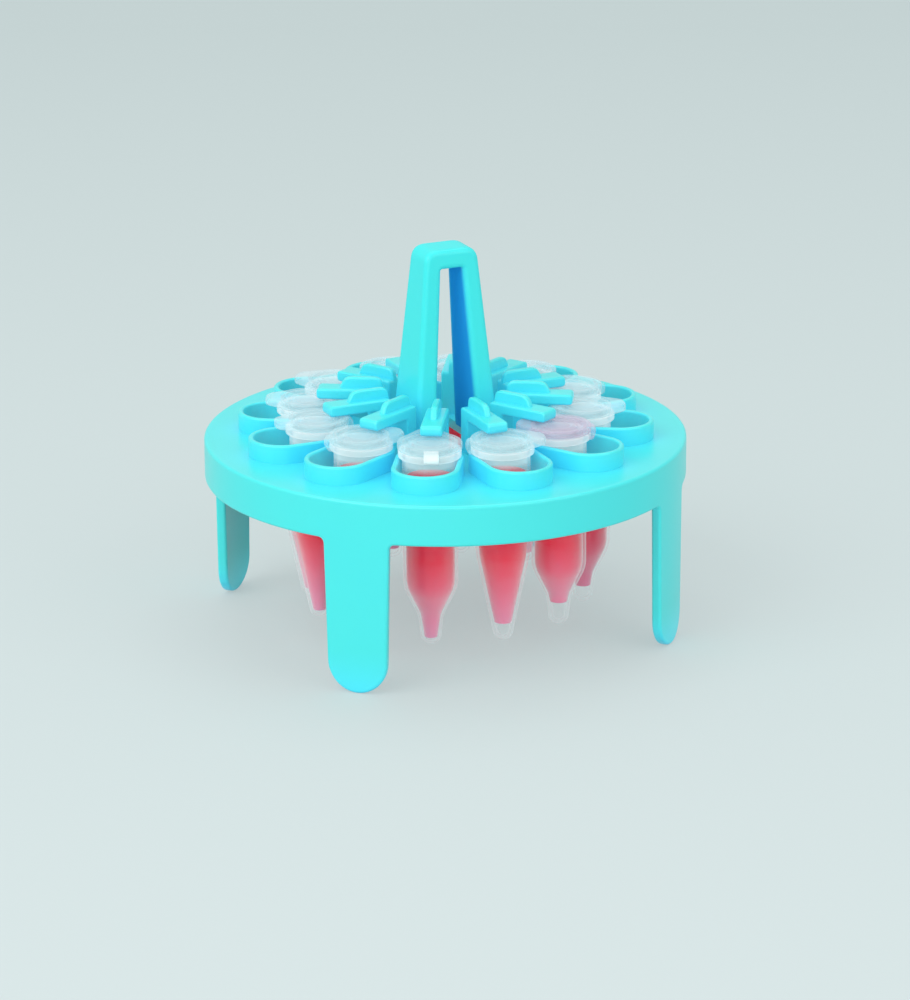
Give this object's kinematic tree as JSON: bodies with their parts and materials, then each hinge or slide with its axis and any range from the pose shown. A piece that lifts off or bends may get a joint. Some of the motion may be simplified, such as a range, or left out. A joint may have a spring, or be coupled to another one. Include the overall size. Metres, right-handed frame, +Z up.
{
  "type": "floating microtube rack",
  "caption": "Round floating rack with a lifting handle, legs and locking fingers over closed microtubes in oblong sockets.",
  "frame": {"origin": "on the rack's vertical axis, at the level of the legs' lower ends, on which it stands", "axes": "+Z up; X along the handle's bar; socket 1 is on +X and the sockets are numbered anticlockwise"},
  "size_m": [0.094, 0.094, 0.0756],
  "materials": {
    "rack_plastic": "smooth semi-gloss moulded polypropylene, bright turquoise blue",
    "tube_plastic": "milky translucent polypropylene over red liquid"
  },
  "bodies": {
    "root": {"rack": "rack_plastic", "plain_microtubes": "tube_plastic", "shouldered_microtubes": "tube_plastic"}
  },
  "joints": []
}
